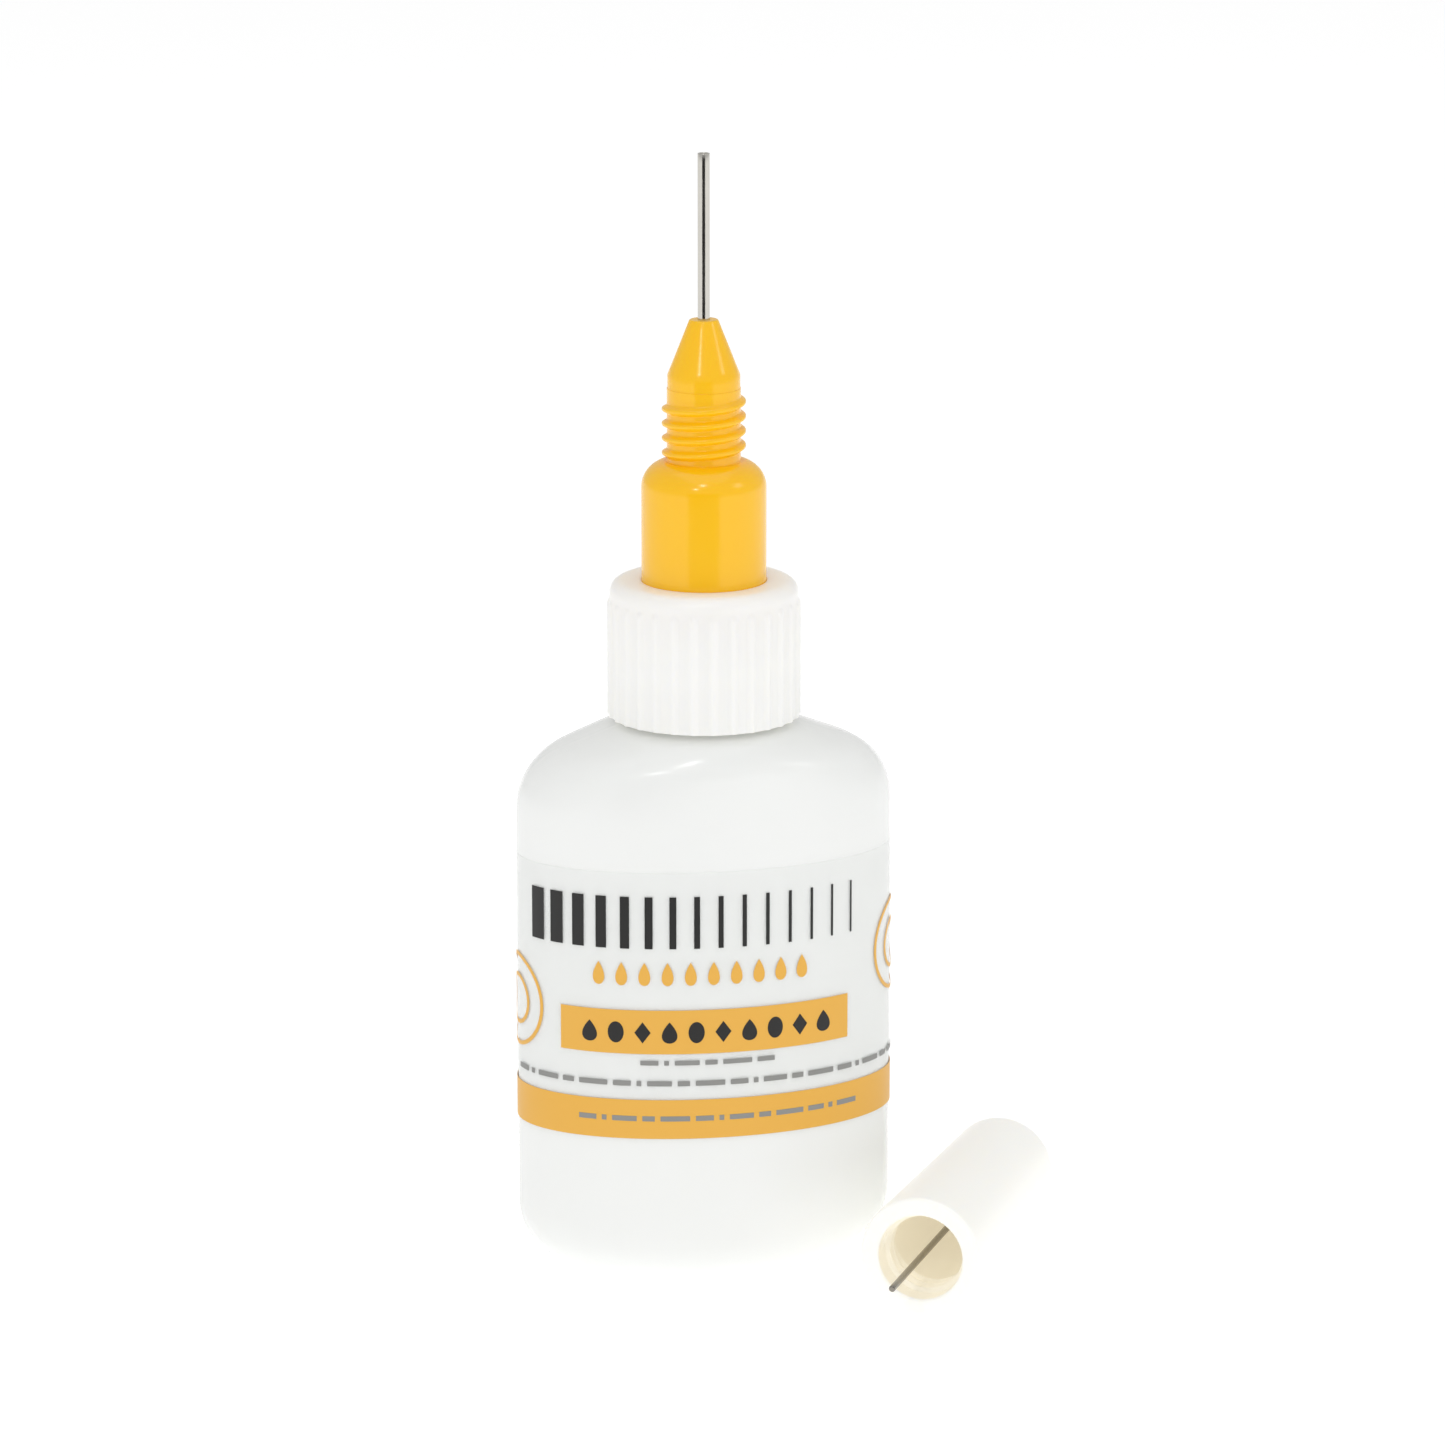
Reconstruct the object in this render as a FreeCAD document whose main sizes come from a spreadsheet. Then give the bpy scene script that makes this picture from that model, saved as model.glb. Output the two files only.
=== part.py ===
import FreeCAD
import Part
import Sketcher
import math
import os

# Glue applicator bottle: an oval squeeze bottle, a screwed collar that clamps a hollow plastic
# tip onto the neck, a steel needle in the tip, and a loose cap whose wire keeps the needle clear.
# Frame: origin at the centre of the bottle's flat base, +Z up, the wide side along X, the front
# facing -Y. Lengths are in millimetres and angles in degrees.

V = FreeCAD.Vector
doc = FreeCAD.newDocument("glue_applicator_bottle")

# ------------------------------------------------------------------ driving dimensions
SIZES = [
    # bottle: an oval prism with a rounded heel and shoulder
    ("bottle_width", 40.0),
    ("bottle_depth", 24.0),
    ("bottle_wall", 1.0),
    ("heel_end_round", 7.2),
    ("heel_face_round", 4.6),
    ("side_height", 50.3),
    ("shoulder_end_round", 6.8),
    ("shoulder_face_round", 4.2),
    ("face_step", 0.1),
    ("neck_root_depth", 0.3),
    ("shoulder_slope", 20.0),
    # neck and its thread
    ("neck_radius", 7.7),
    ("neck_bore_radius", 5.75),
    ("neck_height", 11.1),
    ("closure_pitch", 3.175),
    ("ridge_height", 1.0),
    ("ridge_root", 1.9),
    ("ridge_crest", 1.0),
    ("ridge_clearance", 0.25),
    ("neck_thread_start", 2.0),
    ("neck_thread_turns", 2.0),
    ("collar_thread_turns", 1.75),
    # label film
    ("label_bottom", 16.7),
    ("label_height", 28.9),
    ("label_thickness", 0.12),
    ("label_gap", 3.0),
    # gasket, and the tip's flange and plug
    ("gasket_thickness", 0.8),
    ("gasket_margin", 0.2),
    ("seal_gap", 0.02),
    ("flange_side_gap", 0.75),
    ("flange_thickness", 1.2),
    ("flange_gap", 0.05),
    ("plug_gap", 0.1),
    ("plug_depth", 3.0),
    ("plug_wall", 0.9),
    # collar
    ("collar_wall", 0.95),
    ("collar_skirt_gap", 0.1),
    ("collar_lid", 1.45),
    ("collar_edge", 1.3),
    ("collar_exit_gap", 0.08),
    ("rib_count", 30),
    ("rib_proud", 0.26),
    ("rib_cover", 0.1),
    ("rib_top_margin", 2.0),
    # tip
    ("tip_radius", 6.55),
    ("tip_cylinder", 11.4),
    ("tip_shoulder_rise", 2.8),
    ("tip_shoulder_round", 3.0),
    ("tip_shoulder_top", 4.15),
    ("tip_root_radius", 3.86),
    ("tip_thread_zone", 7.7),
    ("tip_pitch", 1.55),
    ("tip_thread_start", 0.1),
    ("tip_thread_turns", 4.4),
    ("tip_ridge_radius", 0.5),
    ("tip_ridge_lift", 0.04),
    ("tip_plain", 1.4),
    ("tip_plain_radius", 3.8),
    ("tip_passage_radius", 2.3),
    ("cone_height", 5.8),
    ("cone_lip", 0.865),
    # needle
    ("needle_radius", 0.635),
    ("needle_wall", 0.216),
    ("needle_exposed", 17.4),
    ("needle_seated", 8.5),
    ("funnel_height", 1.6),
    # cap and its wire
    ("cap_wall", 1.93),
    ("cap_end_round", 3.0),
    ("cap_bore_gap", 0.12),
    ("cap_thread_zone", 9.0),
    ("cap_bore_taper", 0.72),
    ("cap_room", 0.9),
    ("cap_end_wall", 2.2),
    ("cap_thread_gap", 0.15),
    ("cap_ridge_root", 0.5),
    ("cap_ridge_crest", 0.3),
    ("cap_thread_start", 1.6),
    ("cap_thread_turns", 3.0),
    ("wire_gap", 0.069),
    ("wire_proud", 11.15),
    ("wire_seated", 1.6),
    # where the loose cap lies: its mouth's centre from the bottle's end and front, and its heading
    ("cap_inside_end", 2.4),
    ("cap_ahead", 13.4),
    ("cap_heading", 61.4),
]

# Levels and radii worked out from the driving dimensions, each from what it rests on or fits.
LEVELS = [
    ("tangent_radius", "Sizes.bottle_width / 2 - Sizes.shoulder_end_round"
                       " * (1 - sin(Sizes.shoulder_slope))"),
    ("tangent_height", "Sizes.side_height + Sizes.shoulder_end_round * cos(Sizes.shoulder_slope)"),
    ("neck_base", "tangent_height + (tangent_radius - Sizes.neck_radius)"
                  " * tan(Sizes.shoulder_slope)"),
    ("face_round", "min(Sizes.shoulder_face_round;"
                   " Sizes.bottle_depth / 2 - Sizes.neck_radius - Sizes.face_step)"),
    ("face_round_start", "neck_base - face_round"),
    ("inner_tangent_radius", "tangent_radius - Sizes.bottle_wall * sin(Sizes.shoulder_slope)"),
    ("inner_tangent_height", "tangent_height - Sizes.bottle_wall * cos(Sizes.shoulder_slope)"),
    ("inner_neck_base", "inner_tangent_height + (inner_tangent_radius - Sizes.neck_bore_radius)"
                        " * tan(Sizes.shoulder_slope)"),
    ("neck_root", "min(inner_neck_base; neck_base - Sizes.neck_root_depth)"),
    ("rim", "neck_base + Sizes.neck_height"),
    ("neck_thread_level", "neck_base + Sizes.neck_thread_start"),
    ("neck_crest", "Sizes.neck_radius + Sizes.ridge_height"),
    ("collar_bore", "neck_crest + Sizes.ridge_clearance"),
    ("collar_crest", "Sizes.neck_radius + Sizes.ridge_clearance"),
    ("collar_radius", "collar_bore + Sizes.collar_wall"),
    ("collar_thread_level", "neck_thread_level + Sizes.closure_pitch / 2"),
    ("plug_radius", "Sizes.neck_bore_radius - Sizes.plug_gap"),
    ("plug_bore", "plug_radius - Sizes.plug_wall"),
    ("plug_foot", "rim - Sizes.plug_depth"),
    ("gasket_level", "rim + Sizes.seal_gap"),
    ("gasket_radius", "Sizes.neck_radius - Sizes.gasket_margin"),
    ("flange_level", "gasket_level + Sizes.gasket_thickness"),
    ("flange_radius", "collar_bore - Sizes.flange_side_gap"),
    ("flange_top", "flange_level + Sizes.flange_thickness"),
    ("lid_level", "flange_top + Sizes.flange_gap"),
    ("collar_top", "lid_level + Sizes.collar_lid"),
    ("collar_foot", "neck_base + Sizes.collar_skirt_gap"),
    ("collar_hole", "Sizes.tip_radius + Sizes.collar_exit_gap"),
    ("rib_radius", "(Sizes.collar_wall + Sizes.rib_proud - Sizes.rib_cover) / 2"),
    ("rib_pitch_radius", "collar_radius + Sizes.rib_proud - rib_radius"),
    ("rib_length", "collar_top - collar_foot - Sizes.rib_top_margin"),
    ("tip_cylinder_top", "flange_top + Sizes.tip_cylinder"),
    ("tip_thread_foot", "tip_cylinder_top + Sizes.tip_shoulder_rise"),
    ("tip_thread_level", "tip_thread_foot + Sizes.tip_thread_start"),
    ("tip_thread_top", "tip_thread_foot + Sizes.tip_thread_zone"),
    ("cone_foot", "tip_thread_top + Sizes.tip_plain"),
    ("cone_top", "cone_foot + Sizes.cone_height"),
    ("tip_crest", "Sizes.tip_root_radius + Sizes.tip_ridge_lift + Sizes.tip_ridge_radius"),
    ("needle_foot", "cone_top - Sizes.needle_seated"),
    ("needle_length", "Sizes.needle_seated + Sizes.needle_exposed"),
    ("needle_bore", "Sizes.needle_radius - Sizes.needle_wall"),
    ("cone_tip_radius", "Sizes.needle_radius + Sizes.cone_lip"),
    ("funnel_foot", "needle_foot - Sizes.funnel_height"),
    ("cap_bore", "tip_crest + Sizes.cap_bore_gap"),
    ("cap_crest", "Sizes.tip_root_radius + Sizes.cap_thread_gap"),
    ("cap_bore_end", "cap_bore - Sizes.cap_bore_taper"),
    ("cap_mouth_radius", "cap_bore + Sizes.cap_wall"),
    ("cap_end_radius", "cap_bore_end + Sizes.cap_wall"),
    ("cap_bore_length", "Sizes.tip_thread_zone + Sizes.tip_plain + Sizes.cone_height"
                        " + Sizes.needle_exposed + Sizes.cap_room"),
    ("cap_length", "cap_bore_length + Sizes.cap_end_wall"),
    ("cap_rest_x", "Sizes.bottle_width / 2 - Sizes.cap_inside_end"),
    ("cap_rest_y", "-Sizes.bottle_depth / 2 - Sizes.cap_ahead"),
    ("wire_radius", "needle_bore - Sizes.wire_gap"),
    ("wire_length", "Sizes.wire_proud + cap_bore_length + Sizes.wire_seated"),
]
RIDGE_SINK = 0.1  # how far a thread ridge starts inside the wall that it stands on
HEEL_STEPS = 12
SHOULDER_STEPS = 10
SLOPE_STEPS = 6

sizes = doc.addObject("Spreadsheet::Sheet", "Sizes")
for row, (alias, value) in enumerate(SIZES, start=1):
    sizes.set("A%d" % row, alias)
    sizes.set("B%d" % row, str(value))
    sizes.setAlias("B%d" % row, alias)

levels = doc.addObject("Spreadsheet::Sheet", "Levels")
for row, (alias, formula) in enumerate(LEVELS, start=1):
    levels.set("A%d" % row, alias)
    levels.set("B%d" % row, "=" + formula)
    levels.setAlias("B%d" % row, alias)
doc.recompute()


def value_of(expression):
    """The number that an expression on the two sheets gives now."""
    return float(sizes.evalExpression(expression))


# ------------------------------------------------------------------ sketch and body helpers
def plane_of(body, role):
    """The body's own origin plane or axis with this role."""
    for feature in body.Origin.OriginFeatures:
        if feature.Role == role:
            return feature
    raise ValueError("no origin feature " + role)


def new_body(label):
    body = doc.addObject("PartDesign::Body", label)
    body.Label = label
    return body


def sketch_on(body, role, name):
    sketch = body.newObject("Sketcher::SketchObject", name)
    sketch.AttachmentSupport = [(plane_of(body, role), "")]
    sketch.MapMode = "FlatFace"
    return sketch


def pin_point(sketch, edge, across, up):
    """Hold an edge's start point at (across, up), both expressions, from the sketch's origin."""
    for kind, axis, expression in (("DistanceX", -2, across), ("DistanceY", -1, up)):
        amount = value_of(expression)
        if abs(amount) < 1e-9:
            sketch.addConstraint(Sketcher.Constraint("PointOnObject", edge, 1, axis))
            continue
        index = sketch.addConstraint(Sketcher.Constraint(kind, -1, 1, edge, 1, amount))
        sketch.setExpression("Constraints[%d]" % index, expression)


def outline(body, name, corners, arcs=None):
    """A closed outline on the body's XZ plane. corners are (radius, height) expressions in order;
    arcs gives {index: (radius, side)} for an edge that is an arc from corner index to the next,
    with its centre on the left (side 1) or on the right (side -1) of the way it goes."""
    arcs = arcs or {}
    sketch = sketch_on(body, "XZ_Plane", name)
    points = [V(value_of(across), value_of(up), 0) for across, up in corners]
    count = len(points)
    for index in range(count):
        start = points[index]
        finish = points[(index + 1) % count]
        if index not in arcs:
            sketch.addGeometry(Part.LineSegment(start, finish), False)
            continue
        radius = value_of(arcs[index][0])
        chord = finish - start
        left = V(-chord.y, chord.x, 0).normalize() * arcs[index][1]
        drop = math.sqrt(radius * radius - chord.Length * chord.Length / 4)
        centre = (start + finish) / 2 + left * drop
        crown = centre - left * radius
        sketch.addGeometry(Part.Arc(start, crown, finish), False)
    ends = []
    for index in range(count):
        geometry = sketch.Geometry[index]
        straight = (geometry.StartPoint - points[index]).Length < 1e-6
        ends.append((1, 2) if straight else (2, 1))
    for index in range(count):
        following = (index + 1) % count
        sketch.addConstraint(Sketcher.Constraint(
            "Coincident", index, ends[index][1], following, ends[following][0]))
    for index, (across, up) in enumerate(corners):
        if index in arcs:
            number = sketch.addConstraint(
                Sketcher.Constraint("Radius", index, value_of(arcs[index][0])))
            sketch.setExpression("Constraints[%d]" % number, arcs[index][0])
        if ends[index][0] == 1:
            pin_point(sketch, index, across, up)
        else:
            pin_point(sketch, (index - 1) % count, across, up)
    return sketch


def revolve(body, name, profile):
    turned = body.newObject("PartDesign::Revolution", name)
    turned.Profile = profile
    turned.ReferenceAxis = (plane_of(body, "Z_Axis"), [""])
    turned.Angle = 360
    return turned


def add_thread(body, name, profile, pitch, turns):
    """A right-hand ridge: the profile swept along a helix about the body's Z axis."""
    ridge = body.newObject("PartDesign::AdditiveHelix", name)
    ridge.Profile = profile
    ridge.ReferenceAxis = (plane_of(body, "Z_Axis"), [""])
    ridge.Mode = "pitch-turns-angle"
    ridge.setExpression("Pitch", pitch)
    ridge.setExpression("Turns", turns)
    ridge.LeftHanded = False
    ridge.Reversed = False
    return ridge


def ridge_outline(body, name, foot_radius, crest_radius, level, root, crest):
    """A trapezoid that stands on foot_radius and reaches crest_radius, centred on level."""
    return outline(body, name, [
        (foot_radius, "%s - %s / 2" % (level, root)),
        (crest_radius, "%s - %s / 2" % (level, crest)),
        (crest_radius, "%s + %s / 2" % (level, crest)),
        (foot_radius, "%s + %s / 2" % (level, root)),
    ])


# ------------------------------------------------------------------ bottle
def oval(name, half_width, half_depth, height):
    """An ellipse about the Z axis, never deeper than it is wide."""
    ellipse = doc.addObject("Part::Ellipse", name)
    ellipse.setExpression("MajorRadius", half_width)
    ellipse.setExpression("MinorRadius", "min(%s; %s)" % (half_width, half_depth))
    ellipse.setExpression("Placement.Base.z", height)
    return ellipse


def loft(name, sections):
    body = doc.addObject("Part::Loft", name)
    body.Sections = sections
    body.Solid = True
    body.Ruled = True
    return body


def bottle_skin(name, inset):
    """The bottle's outer surface, or with an inset the parallel inner one, as three solids."""
    half_width = "(Sizes.bottle_width / 2 - %s)" % inset
    half_depth = "(Sizes.bottle_depth / 2 - %s)" % inset
    heel_end = "(Sizes.heel_end_round - %s)" % inset
    heel_face = "(Sizes.heel_face_round - %s)" % inset
    top_end = "(Sizes.shoulder_end_round - %s)" % inset
    top_face = "(Levels.face_round - %s)" % inset
    inner = inset != "0"
    heel = []
    for step in range(HEEL_STEPS + 1):
        angle = 90.0 * step / HEEL_STEPS
        height = "(Sizes.heel_end_round - %s * cos(%s))" % (heel_end, angle)
        across = "(%s - %s * (1 - sin(%s)))" % (half_width, heel_end, angle)
        below = "max(0; Sizes.heel_face_round - %s)" % height
        deep = "(%s - %s + sqrt(max(0; %s ^ 2 - (%s) ^ 2)))" % (
            half_depth, heel_face, heel_face, below)
        heel.append(oval("%s_heel_%d" % (name, step), across, deep, height))
    side = oval(name + "_side_top", half_width, half_depth, "Sizes.side_height")
    shoulder = [side]
    stop = "Levels.inner_neck_base" if inner else "Levels.neck_base"
    last = "Sizes.neck_bore_radius" if inner else "Sizes.neck_radius"
    tangent = "Levels.inner_tangent" if inner else "Levels.tangent"
    stations = []
    for step in range(1, SHOULDER_STEPS + 1):
        angle = "((90 - Sizes.shoulder_slope) * %s)" % (step / SHOULDER_STEPS)
        stations.append((
            "(%s - %s * (1 - cos(%s)))" % (half_width, top_end, angle),
            "(Sizes.side_height + %s * sin(%s))" % (top_end, angle)))
    for step in range(1, SLOPE_STEPS + 1):
        share = step / SLOPE_STEPS
        stations.append((
            "(%s_radius + (%s - %s_radius) * %s)" % (tangent, last, tangent, share),
            "(%s_height + (%s - %s_height) * %s)" % (tangent, stop, tangent, share)))
    for step, (across, height) in enumerate(stations):
        above = "max(0; %s - Levels.face_round_start)" % height
        deep = "max(%s; %s - %s + sqrt(max(0; %s ^ 2 - (%s) ^ 2)))" % (
            last, half_depth, top_face, top_face, above)
        shoulder.append(oval("%s_shoulder_%d" % (name, step), across, deep, height))
    return [
        loft(name + "_heel", heel),
        loft(name + "_sides", [heel[-1], side]),
        loft(name + "_shoulder", shoulder),
    ]


def cylinder(name, radius, height, level):
    round_bar = doc.addObject("Part::Cylinder", name)
    round_bar.setExpression("Radius", radius)
    round_bar.setExpression("Height", height)
    round_bar.setExpression("Placement.Base.z", level)
    return round_bar


def joined(name, pieces):
    fused = doc.addObject("Part::MultiFuse", name)
    fused.Shapes = pieces
    return fused


def cut(name, base, tool):
    result = doc.addObject("Part::Cut", name)
    result.Base = base
    result.Tool = tool
    return result


def make_bottle():
    """An oval shell with a threaded neck: outer solid less the inner one and the neck's bore."""
    neck = new_body("neck")
    wall = outline(neck, "neck_profile", [
        ("Sizes.neck_bore_radius", "Levels.neck_root"),
        ("Sizes.neck_radius", "Levels.neck_root"),
        ("Sizes.neck_radius", "Levels.rim"),
        ("Sizes.neck_bore_radius", "Levels.rim"),
    ])
    revolve(neck, "neck_wall", wall)
    doc.recompute()
    ridge = ridge_outline(
        neck, "neck_ridge_profile", "(Sizes.neck_radius - %s)" % RIDGE_SINK, "Levels.neck_crest",
        "Levels.neck_thread_level", "Sizes.ridge_root", "Sizes.ridge_crest")
    add_thread(neck, "neck_ridge", ridge, "Sizes.closure_pitch", "Sizes.neck_thread_turns")
    shell = cut("bottle_shell", joined("bottle_outside", bottle_skin("outer", "0")),
                joined("bottle_inside", bottle_skin("inner", "Sizes.bottle_wall")))
    bore = cylinder("bottle_bore", "Sizes.neck_bore_radius",
                    "Levels.rim - Levels.inner_tangent_height", "Levels.inner_tangent_height")
    bottle = joined("bottle", [cut("bottle_open_shell", shell, bore), neck])
    bottle.Label = "bottle"
    return bottle


def make_label():
    """A film around the bottle's straight side, its two ends a gap apart at the back."""
    rings = []
    for name, proud in (("label_outer", "Sizes.label_thickness"), ("label_inner", "0")):
        ends = [oval("%s_%d" % (name, top),
                     "(Sizes.bottle_width / 2 + %s)" % proud,
                     "(Sizes.bottle_depth / 2 + %s)" % proud,
                     "(Sizes.label_bottom + %d * Sizes.label_height)" % top) for top in (0, 1)]
        rings.append(loft(name, ends))
    slot = doc.addObject("Part::Box", "label_slot")
    slot.setExpression("Length", "Sizes.label_gap")
    slot.setExpression("Width", "Sizes.bottle_depth")
    slot.setExpression("Height", "Sizes.label_height")
    slot.setExpression("Placement.Base.x", "-Sizes.label_gap / 2")
    slot.setExpression("Placement.Base.z", "Sizes.label_bottom")
    label = cut("label", cut("label_ring", rings[0], rings[1]), slot)
    label.Label = "label"
    return label


# ------------------------------------------------------------------ closure
def make_gasket():
    gasket = new_body("neck_gasket")
    ring = outline(gasket, "gasket_profile", [
        ("Sizes.neck_bore_radius", "Levels.gasket_level"),
        ("Levels.gasket_radius", "Levels.gasket_level"),
        ("Levels.gasket_radius", "Levels.flange_level"),
        ("Sizes.neck_bore_radius", "Levels.flange_level"),
    ])
    revolve(gasket, "gasket_ring", ring)
    return gasket


def make_collar():
    """A ribbed skirt with a holed lid, and a ridge inside that runs in the neck's thread."""
    collar = new_body("collar")
    edge = "(Levels.collar_radius - Sizes.collar_edge)"
    profile = outline(collar, "collar_profile", [
        ("Levels.collar_bore", "Levels.collar_foot"),
        ("Levels.collar_radius", "Levels.collar_foot"),
        ("Levels.collar_radius", "(Levels.collar_top - Sizes.collar_edge)"),
        (edge, "Levels.collar_top"),
        ("Levels.collar_hole", "Levels.collar_top"),
        ("Levels.collar_hole", "Levels.lid_level"),
        ("Levels.collar_bore", "Levels.lid_level"),
    ], arcs={2: ("Sizes.collar_edge", 1)})
    revolve(collar, "collar_shell", profile)
    doc.recompute()
    rib_round = sketch_on(collar, "XY_Plane", "rib_profile")
    rib_round.setExpression("AttachmentOffset.Base.z", "Levels.collar_foot")
    rib_round.addGeometry(Part.Circle(
        V(value_of("Levels.rib_pitch_radius"), 0, 0), V(0, 0, 1), value_of("Levels.rib_radius")))
    rib_round.addConstraint(Sketcher.Constraint("PointOnObject", 0, 3, -1))
    place = rib_round.addConstraint(
        Sketcher.Constraint("DistanceX", -1, 1, 0, 3, value_of("Levels.rib_pitch_radius")))
    rib_round.setExpression("Constraints[%d]" % place, "Levels.rib_pitch_radius")
    bend = rib_round.addConstraint(
        Sketcher.Constraint("Radius", 0, value_of("Levels.rib_radius")))
    rib_round.setExpression("Constraints[%d]" % bend, "Levels.rib_radius")
    rib = collar.newObject("PartDesign::Pad", "rib")
    rib.Profile = rib_round
    rib.setExpression("Length", "Levels.rib_length")
    doc.recompute()
    ribs = collar.newObject("PartDesign::PolarPattern", "ribs")
    ribs.Originals = [rib]
    ribs.Axis = (plane_of(collar, "Z_Axis"), [""])
    ribs.Angle = 360
    ribs.setExpression("Occurrences", "Sizes.rib_count")
    collar.Tip = ribs
    doc.recompute()
    ridge = ridge_outline(
        collar, "collar_ridge_profile", "(Levels.collar_bore + %s)" % RIDGE_SINK,
        "Levels.collar_crest", "Levels.collar_thread_level", "Sizes.ridge_root",
        "Sizes.ridge_crest")
    add_thread(collar, "collar_ridge", ridge, "Sizes.closure_pitch",
               "Sizes.collar_thread_turns")
    return collar


# ------------------------------------------------------------------ tip and needle
def make_tip():
    """A hollow tip: plug and flange, cylinder, rounded shoulder, threaded waist and cone."""
    tip = new_body("tip_body")
    profile = outline(tip, "tip_profile", [
        ("Levels.plug_bore", "Levels.plug_foot"),
        ("Levels.plug_radius", "Levels.plug_foot"),
        ("Levels.plug_radius", "Levels.flange_level"),
        ("Levels.flange_radius", "Levels.flange_level"),
        ("Levels.flange_radius", "Levels.flange_top"),
        ("Sizes.tip_radius", "Levels.flange_top"),
        ("Sizes.tip_radius", "Levels.tip_cylinder_top"),
        ("Sizes.tip_shoulder_top", "Levels.tip_thread_foot"),
        ("Sizes.tip_root_radius", "Levels.tip_thread_foot"),
        ("Sizes.tip_root_radius", "Levels.tip_thread_top"),
        ("Sizes.tip_plain_radius", "Levels.tip_thread_top"),
        ("Sizes.tip_plain_radius", "Levels.cone_foot"),
        ("Levels.cone_tip_radius", "Levels.cone_top"),
        ("Sizes.needle_radius", "Levels.cone_top"),
        ("Sizes.needle_radius", "Levels.needle_foot"),
        ("Sizes.tip_passage_radius", "Levels.funnel_foot"),
        ("Sizes.tip_passage_radius", "Levels.tip_thread_foot"),
        ("Levels.plug_bore", "Levels.tip_cylinder_top"),
    ], arcs={6: ("Sizes.tip_shoulder_round", 1)})
    revolve(tip, "tip_shell", profile)
    doc.recompute()
    foot = "(Sizes.tip_root_radius - %s)" % RIDGE_SINK
    stand = "(Sizes.tip_root_radius + Sizes.tip_ridge_lift)"
    low = "(Levels.tip_thread_level - Sizes.tip_ridge_radius)"
    high = "(Levels.tip_thread_level + Sizes.tip_ridge_radius)"
    ridge = outline(tip, "tip_ridge_profile", [(foot, low), (stand, low), (stand, high),
                                               (foot, high)],
                    arcs={1: ("Sizes.tip_ridge_radius * 1.001", 1)})
    add_thread(tip, "tip_ridge", ridge, "Sizes.tip_pitch", "Sizes.tip_thread_turns")
    return tip


def make_needle():
    needle = new_body("needle")
    wall = outline(needle, "needle_profile", [
        ("Levels.needle_bore", "Levels.needle_foot"),
        ("Sizes.needle_radius", "Levels.needle_foot"),
        ("Sizes.needle_radius", "(Levels.needle_foot + Levels.needle_length)"),
        ("Levels.needle_bore", "(Levels.needle_foot + Levels.needle_length)"),
    ])
    revolve(needle, "needle_tube", wall)
    return needle


# ------------------------------------------------------------------ cap and wire
def make_cap():
    """A tapered cap in its own frame: mouth at z = 0, closed end up, with a threaded mouth."""
    cap = new_body("cap")
    end_inset = "(Levels.cap_end_radius - Sizes.cap_end_round)"
    profile = outline(cap, "cap_profile", [
        ("Levels.cap_bore", "0"),
        ("Levels.cap_mouth_radius", "0"),
        ("Levels.cap_end_radius", "(Levels.cap_length - Sizes.cap_end_round)"),
        (end_inset, "Levels.cap_length"),
        ("0", "Levels.cap_length"),
        ("0", "(Levels.cap_bore_length + Sizes.wire_seated)"),
        ("Levels.wire_radius", "(Levels.cap_bore_length + Sizes.wire_seated)"),
        ("Levels.wire_radius", "Levels.cap_bore_length"),
        ("Levels.cap_bore_end", "Levels.cap_bore_length"),
        ("Levels.cap_bore", "Sizes.cap_thread_zone"),
    ], arcs={2: ("Sizes.cap_end_round", 1)})
    revolve(cap, "cap_shell", profile)
    doc.recompute()
    ridge = ridge_outline(
        cap, "cap_ridge_profile", "(Levels.cap_bore + %s)" % RIDGE_SINK, "Levels.cap_crest",
        "Sizes.cap_thread_start", "Sizes.cap_ridge_root", "Sizes.cap_ridge_crest")
    add_thread(cap, "cap_ridge", ridge, "Sizes.tip_pitch", "Sizes.cap_thread_turns")
    return cap


def make_wire():
    wire = new_body("cap_wire")
    circle = sketch_on(wire, "XY_Plane", "wire_profile")
    circle.addGeometry(Part.Circle(V(0, 0, 0), V(0, 0, 1), value_of("Levels.wire_radius")))
    circle.addConstraint(Sketcher.Constraint("Coincident", 0, 3, -1, 1))
    bend = circle.addConstraint(Sketcher.Constraint("Radius", 0, value_of("Levels.wire_radius")))
    circle.setExpression("Constraints[%d]" % bend, "Levels.wire_radius")
    circle.setExpression("AttachmentOffset.Base.z", "-Sizes.wire_proud")
    rod = wire.newObject("PartDesign::Pad", "wire_rod")
    rod.Profile = circle
    rod.setExpression("Length", "Levels.wire_length")
    return wire


def lay_down(body):
    """Place a piece of the cap lying on the plane z = 0, mouth end first along its heading."""
    mouth = value_of("Levels.cap_mouth_radius")
    narrowing = mouth - value_of("Levels.cap_end_radius")
    straight = value_of("Levels.cap_length - Sizes.cap_end_round")
    lean = math.atan2(narrowing, straight)
    heading = math.radians(value_of("Sizes.cap_heading"))
    along = V(math.cos(lean) * math.cos(heading), math.cos(lean) * math.sin(heading),
              -math.sin(lean))
    rest = V(value_of("Levels.cap_rest_x"), value_of("Levels.cap_rest_y"), mouth * math.cos(lean))
    body.Placement = FreeCAD.Placement(rest, FreeCAD.Rotation(V(0, 0, 1), along))


# ------------------------------------------------------------------ build, check and write
parts = [make_bottle(), make_label(), make_gasket(), make_collar(), make_tip(), make_needle()]
loose = [make_cap(), make_wire()]
for piece in loose:
    lay_down(piece)
parts += loose
doc.recompute()

for item in doc.Objects:
    if "Invalid" in item.State or "Error" in item.State:
        raise RuntimeError("%s did not build: %s" % (item.Name, item.State))
for part in parts:
    if part.Shape.isNull() or not part.Shape.isValid():
        raise RuntimeError(part.Label + " has no valid shape")
    if len(part.Shape.Solids) != 1:
        raise RuntimeError("%s has %d solids" % (part.Label, len(part.Shape.Solids)))

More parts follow.
